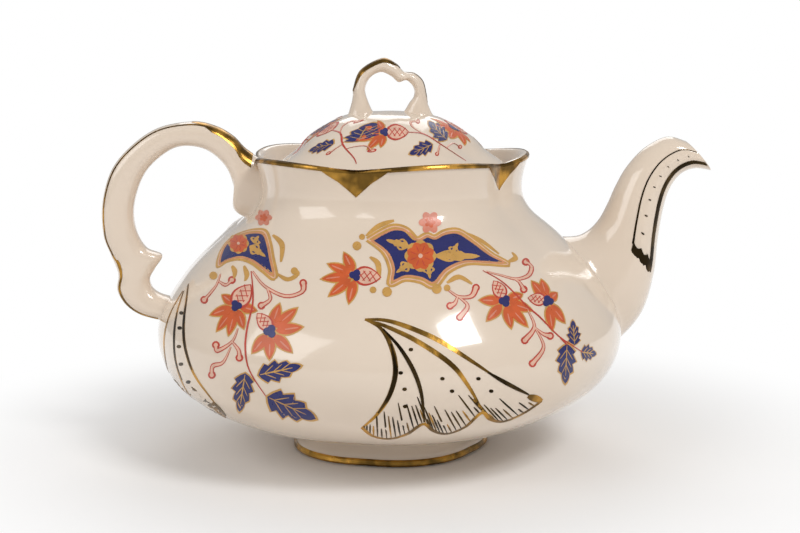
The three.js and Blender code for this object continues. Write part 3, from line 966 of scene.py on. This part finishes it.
class TeapotColours(bpy.types.PropertyGroup):
    glaze: tint("Glaze", "Porcelain glaze", (0.905, 0.84, 0.77))
    glaze_shade: tint("Glaze shade", "Darker clouds in the glaze", (0.87, 0.80, 0.72))
    cobalt: tint("Cobalt", "Blue enamel", (0.13, 0.15, 0.42))
    orange: tint("Iron red", "Orange flowers", (0.86, 0.38, 0.17))
    red: tint("Red line", "Red outlines and scrolls", (0.80, 0.27, 0.20))
    salmon: tint("Salmon", "Pale red borders", (0.90, 0.56, 0.46))
    gold: tint("Gold", "Gilding", (0.80, 0.60, 0.27))
    # The dark gold is painted reflection: gilding coloured as it looks where it mirrors the dark.
    reflected_dark_gold: tint("Dark gold", "Gilding that mirrors the dark", (0.33, 0.26, 0.15))
    ochre: tint("Ochre", "Gilt outlines of the enamel", (0.84, 0.64, 0.33))
    blush: tint("Blush", "Pale fill of cones and scrolls", (0.95, 0.76, 0.66))


GLAZES = {}
ENAMELS = ("ochre", "cobalt", "orange", "salmon", "blush", "red", "gold", "reflected_dark_gold")


def glaze():
    """The materials by name, made at the first call."""
    if not GLAZES:
        tints = bpy.context.scene.teapot_colours
        GLAZES["porcelain"] = porcelain("cream porcelain glaze", tints.glaze, tints.glaze_shade)
        # The gold's brown patches are painted reflection, with a little wear.
        GLAZES["gold"] = gilt("worn gilding with painted reflection", tints.gold, [c * 0.46 for c in tints.gold])
        # The dark gilding is painted reflection: gold darkened where it mirrors the dark, with the same
        # patches and wear.
        GLAZES["reflected_dark_gold"] = gilt("dark gilding of painted reflection", tints.reflected_dark_gold, [c * 0.45 for c in tints.reflected_dark_gold])
        for key in ("cobalt", "orange", "red", "salmon", "ochre", "blush"):
            base = getattr(tints, key)
            GLAZES[key] = enamel(key + " enamel", base, [c * 0.8 for c in base])
    return GLAZES


# Operators

class TEAPOT_OT_pot(bpy.types.Operator):
    """Body, foot ring and the ledge inside the rim"""
    bl_idname = "teapot.pot"
    bl_label = "Pot body and foot"

    def execute(self, context):
        profile, outer_count = body_profile()
        body = turned_piece("body", profile, around=240, outer_count=outer_count, waved=True)
        finish_piece(body, "porcelain", "pot", "body_glaze", "pot_body")
        foot = turned_piece("foot", foot_profile(), around=240)
        finish_piece(foot, "porcelain", "pot", "foot_glaze", "foot_ring")
        return {"FINISHED"}


class TEAPOT_OT_spout(bpy.types.Operator):
    """Hollow spout, blended into the side of the body"""
    bl_idname = "teapot.spout"
    bl_label = "Spout"

    def execute(self, context):
        steps, bore, wall = 70, 50, 2.4
        # Place along the spout and wall of each row, up the outside and down the bore. None closes an end.
        rows = [(0.0, None)] + [(k / steps, 0.0) for k in range(steps + 1)] + [(1.0, 0.9), (0.995, 1.8)]
        rows += [(1 - 0.8 * k / bore, wall) for k in range(bore + 1)] + [(0.2, None)]
        last = len(rows) - 1

        def place(u, v):
            row = round(v * last)
            t, inset = rows[row]
            if inset is None:
                point = section_middle(SPOUT, t)
            else:
                point = section(SPOUT, t, u * 2 * pi, inset)
            return in_frame(seated(point, depth=0.5) if row <= steps + 1 else point)

        spout = wrapped_grid("swan_neck_spout", around=48, along=last, place=place)
        finish_piece(spout, "porcelain", "pot", "body_glaze", "spout")
        return {"FINISHED"}


class TEAPOT_OT_handle(bpy.types.Operator):
    """Strap handle with its thumb rest and lower scroll"""
    bl_idname = "teapot.handle"
    bl_label = "Handle"

    def execute(self, context):
        handle = closed_limb("strap_handle", HANDLE, around=40, steps=180,
                             settle=lambda point: seated(point, depth=0.5, blend=2.0))
        finish_piece(handle, "porcelain", "pot", "handle_glaze", "handle")
        return {"FINISHED"}


class TEAPOT_OT_lid(bpy.types.Operator):
    """Lid with flange and skirt, and its pierced loop knob"""
    bl_idname = "teapot.lid"
    bl_label = "Lid and knob"

    def execute(self, context):
        lid = turned_piece("lid", lid_profile(), around=200)
        finish_piece(lid, "porcelain", "lid", "body_glaze", "lid_shell")
        knob = closed_limb("loop_knob", KNOB, around=32, steps=110, settle=on_dome)
        finish_piece(knob, "porcelain", "lid", "handle_glaze", "lid_knob")
        return {"FINISHED"}


# A full turn in steps of 1.5 degrees
TURNS = [radians(1.5 * k) for k in range(241)]
# Edges of the gilt bands: reach past the radius, with rise over the rim or height over the table
RIM_BAND = ((0.22, -0.9), (0.3, -0.1), (0.075, 0.45))
FOOT_BAND = ((0.2, 0.12), (0.62, 0.3), (1.12, 1.0), (0.74, 2.2), (0.3, 2.9))
# Gilt lines: start and end along the limb, then both edges in degrees at the start and at the end
HANDLE_LINES = ((0.06, 0.66, 34, 43, 34, 43), (0.66, 0.97, 36, 50, 36, 50))
SPOUT_LINES = ((0.36, 0.985, 84, 88, 70, 73), (0.33, 0.985, 128, 139, 112, 128))
# Gilt ridges of the knob: start and end along it, and half their spread in degrees
KNOB_RIDGES = ((0.16, 0.5, 70), (0.56, 0.9, 26))


def handle_point(t, angle, lift=GILT_LIFT):
    return in_frame(seated(section(HANDLE, t, radians(angle), lift=lift), depth=0.35, blend=2.0))


def spout_point(t, angle, lift=GILT_LIFT, width_at=None):
    return in_frame(section(SPOUT, t, radians(angle), lift=lift, width_at=width_at))


def lengthwise(decal, steps, point, line):
    """One of the gilt lines, along both sides of a limb."""
    start, end, low, high, last_low, last_high = line
    for side in (-1, 1):
        def place(share, column):
            near, far = low + (last_low - low) * share, high + (last_high - high) * share
            return point(start + (end - start) * share, side * (near + (far - near) * column / 4))

        decal.sheet(steps, range(5), place)


class TEAPOT_OT_gilding(bpy.types.Operator):
    """Gilt folds, rim line, foot line and the lines on spout, handle and knob"""
    bl_idname = "teapot.gilding"
    bl_label = "Gilding"

    def execute(self, context):
        self.folds()
        self.bands()
        self.handle_lines()
        self.spout_panel()
        self.knob_spine()
        return {"FINISHED"}

    def folds(self):
        folds = Decal("gilt_folds")
        half = degrees(FOLD_HALF_WIDTH / RIM_RADIUS) * 0.96
        for lobe in range(LOBES):
            middle = 360 / LOBES * (lobe + 0.5)

            def place(drop, column):
                azimuth = middle + half * (1 - drop) * column / 12
                return on_body(azimuth, RIM_HEIGHT - drop * FOLD_HEIGHT * 0.97, GILT_LIFT)

            folds.sheet(16, range(-12, 13), place)
        folds.make("gold", "pot", "body_glaze")

    def bands(self):
        rim = Decal("gilt_rim")
        rows = [[pressed(RIM_RADIUS + reach, RIM_HEIGHT + rise, turn, True, True) for turn in TURNS]
                for reach, rise in RIM_BAND]
        rim.strip(rows + [[pressed(RIM_RADIUS - 0.8, RIM_HEIGHT + 0.92, turn, False, True)
                           for turn in TURNS]])
        rim.make("gold", "pot", "body_glaze")
        foot = Decal("gilt_foot")
        foot.strip([[pressed(FOOT_RADIUS + reach, height, turn) for turn in TURNS]
                    for reach, height in FOOT_BAND])
        foot.make("gold", "pot", "foot_glaze")

    def handle_lines(self):
        lines = Decal("gilt_lines")
        for line in HANDLE_LINES:
            lengthwise(lines, 90, handle_point, line)

        def crown(share, column):
            half = 60 * clamp(3 * (1 - share) + 0.3, 0.3)
            return handle_point(0.05 + 0.2 * share, half * column / 7, 0.1)

        lines.sheet(60, range(-7, 8), crown)
        lines.make("gold", "pot", "handle_glaze")

    def spout_panel(self):
        panel = Decal("gilt_spout")
        for line in SPOUT_LINES:
            lengthwise(panel, 70, spout_point, line)
        dots = Decal("spout_dots", 0.14)
        for side in (-1, 1):
            def scallop(share, column):
                wave = 0.012 * abs(sin(3 * pi * share))
                return spout_point(0.335 - wave + 0.012 * column, side * (86 + 50 * share), width_at=0.34)

            panel.sheet(12, range(4), scallop)
            for k in range(8):
                t = 0.42 + 0.068 * k

                def spot(u, v, lift):
                    return spout_point(t + v * 0.0045, side * (104 - 6 * t + u * 5), lift, t)

                dots.patch(spot, (0, 0), circle((0, 0), 0.9 - 0.3 * t))
        # The spout's lines, scallops and dots are in the dark gold of painted reflection.
        panel.make("reflected_dark_gold", "pot", "body_glaze")
        dots.make("reflected_dark_gold", "pot", "body_glaze")

    def knob_spine(self):
        spine = Decal("gilt_knob")
        for start, end, reach in KNOB_RIDGES:
            def place(share, column):
                half = sin(pi * clamp(share, 0.06, 0.94)) ** 0.5 * reach
                angle = radians(half * column / 6)
                return in_frame(section(KNOB, start + (end - start) * share, angle, lift=GILT_LIFT))

            spine.sheet(60, range(-6, 7), place)
        spine.make("gold", "lid", "handle_glaze")


class TEAPOT_OT_decoration(bpy.types.Operator):
    """Enamel flowers, fans, cartouches and scrolls on the body and the lid"""
    bl_idname = "teapot.decoration"
    bl_label = "Enamel decoration"

    def execute(self, context):
        front, back, top = ({key: Decal(prefix + "_" + key) for key in ENAMELS}
                            for prefix in ("front", "back", "lid"))
        Brush(skin(body_place, on_body), front).panel()
        Brush(skin(body_place, on_body, mirrored=True), back).panel()
        for turned in LID_SPRAYS:
            Brush(skin(lid_place, on_lid, turned=turned), top).lid_spray()
        for decals, body in ((front, "pot"), (back, "pot"), (top, "lid")):
            for key, decal in decals.items():
                if decal.faces:
                    decal.make(key, body, "body_glaze")
        return {"FINISHED"}


# Lamps: name, place and size in metres, and power in watts
LAMPS = (("key", (0.5, -0.7, 0.9), 0.35, 5.6), ("fill", (-0.8, -0.5, 0.6), 0.6, 2.6),
         ("back", (0.1, 0.9, 0.8), 0.7, 2.6))
LAMP_AIM = Vector((0, 0, 0.06))
WHITE = (1, 1, 1, 1)
WORLD_STRENGTH = 0.45
# Distances from the middle between which the floor turns plain white, in metres
FADE_START, FADE_END = 0.09, 0.22


class TEAPOT_OT_stage(bpy.types.Operator):
    """Floor, backdrop, lamps and the camera of the photograph"""
    bl_idname = "teapot.stage"
    bl_label = "Stage"

    def execute(self, context):
        deselect()
        bpy.ops.mesh.primitive_plane_add(size=6)
        floor = bpy.context.object
        floor.name = "floor"
        floor.location = (0, 0, -0.0002)
        floor.data.materials.append(self.floor_material())
        self.world()
        for name, place, size, power in LAMPS:
            lamp = bpy.data.lights.new(name, "AREA")
            lamp.energy = power
            lamp.size = size
            holder = new_object(name, lamp)
            holder.location = place
            holder.rotation_euler = (LAMP_AIM - Vector(place)).to_track_quat("-Z", "Y").to_euler()
        self.camera()
        bpy.context.scene.view_settings.view_transform = "Standard"
        return {"FINISHED"}

    def floor_material(self):
        """Matt near the foot, where it takes the shadow, and plain white to the camera further out."""
        paint = Paint("pale floor")
        paint.feed("Base Color", (0.94, 0.93, 0.92, 1))
        paint.feed("Roughness", 0.9)
        paint.feed("Specular IOR Level", 0.1)
        length = paint.add("ShaderNodeVectorMath", {0: paint.place}, operation="LENGTH")
        fade = paint.add("ShaderNodeMapRange", {"Value": length.outputs["Value"], "From Min": FADE_START,
                                                "From Max": FADE_END}, interpolation_type="SMOOTHSTEP")
        rays = paint.add("ShaderNodeLightPath", {})
        seen, mirrored, through = (Tone(paint, rays.outputs[name]) for name in
                                   ("Is Camera Ray", "Is Glossy Ray", "Is Transmission Ray"))
        shine = paint.add("ShaderNodeEmission", {"Color": WHITE, "Strength": 1.0})
        share = (seen + mirrored + through) * Tone(paint, fade.outputs[0])
        mixer = paint.add("ShaderNodeMixShader", {0: share, 1: paint.shader.outputs[0], 2: shine.outputs[0]})
        paint.tree.links.new(mixer.outputs[0], paint.tree.nodes["Material Output"].inputs[0])
        return paint.material

    def world(self):
        """Soft light from all round, which the camera sees as plain white."""
        world = bpy.data.worlds.new("studio")
        bpy.context.scene.world = world
        world.use_nodes = True
        tree = world.node_tree
        light = tree.nodes["Background"].outputs[0]
        link_or_set(tree, tree.nodes["Background"].inputs["Color"], WHITE)
        link_or_set(tree, tree.nodes["Background"].inputs["Strength"], WORLD_STRENGTH)
        plain = add_node(tree, "ShaderNodeBackground", {"Color": WHITE, "Strength": 1.0}).outputs[0]
        rays = add_node(tree, "ShaderNodeLightPath", {}).outputs
        either = add_node(tree, "ShaderNodeMath", {0: rays["Is Camera Ray"], 1: rays["Is Transmission Ray"]},
                          operation="MAXIMUM")
        mixer = add_node(tree, "ShaderNodeMixShader", {0: either.outputs[0], 1: light, 2: plain})
        tree.links.new(mixer.outputs[0], tree.nodes["World Output"].inputs[0])

    def camera(self):
        sizes = bpy.context.scene.teapot_sizes
        data = bpy.data.cameras.new("camera")
        data.lens = sizes.camera_lens
        data.sensor_width = SENSOR_WIDTH
        camera = new_object("camera", data)
        turn = sizes.camera_turn
        camera.location = (AXIS_X * MM + sizes.camera_distance * cos(turn),
                           sizes.camera_distance * sin(turn), sizes.camera_height)
        facing = turn + pi + sizes.camera_yaw
        camera.rotation_euler = (pi / 2 - sizes.camera_pitch, 0, facing - pi / 2)
        bpy.context.scene.camera = camera


class TEAPOT_PT_panel(bpy.types.Panel):
    """Sizes, colours and steps of the teapot"""
    bl_idname = "TEAPOT_PT_panel"
    bl_label = "Porcelain teapot"
    bl_space_type = "VIEW_3D"
    bl_region_type = "UI"
    bl_category = "Teapot"

    def draw(self, context):
        layout = self.layout
        for name in TeapotSizes.__annotations__:
            layout.prop(context.scene.teapot_sizes, name)
        for name in TeapotColours.__annotations__:
            layout.prop(context.scene.teapot_colours, name)
        for step in STEPS:
            layout.operator(step.bl_idname)


STEPS = (TEAPOT_OT_stage, TEAPOT_OT_pot, TEAPOT_OT_spout, TEAPOT_OT_handle, TEAPOT_OT_lid, TEAPOT_OT_gilding,
         TEAPOT_OT_decoration)
CLASSES = (TeapotSizes, TeapotColours) + STEPS + (TEAPOT_PT_panel,)


def register():
    for item in CLASSES:
        bpy.utils.register_class(item)
    bpy.types.Scene.teapot_sizes = PointerProperty(type=TeapotSizes)
    bpy.types.Scene.teapot_colours = PointerProperty(type=TeapotColours)


def unregister():
    del bpy.types.Scene.teapot_sizes
    del bpy.types.Scene.teapot_colours
    for item in reversed(CLASSES):
        bpy.utils.unregister_class(item)


def main():
    register()
    bpy.ops.teapot.stage()
    bpy.ops.teapot.pot()
    bpy.ops.teapot.spout()
    bpy.ops.teapot.handle()
    bpy.ops.teapot.lid()
    bpy.ops.teapot.gilding()
    bpy.ops.teapot.decoration()


if __name__ == "__main__":
    main()
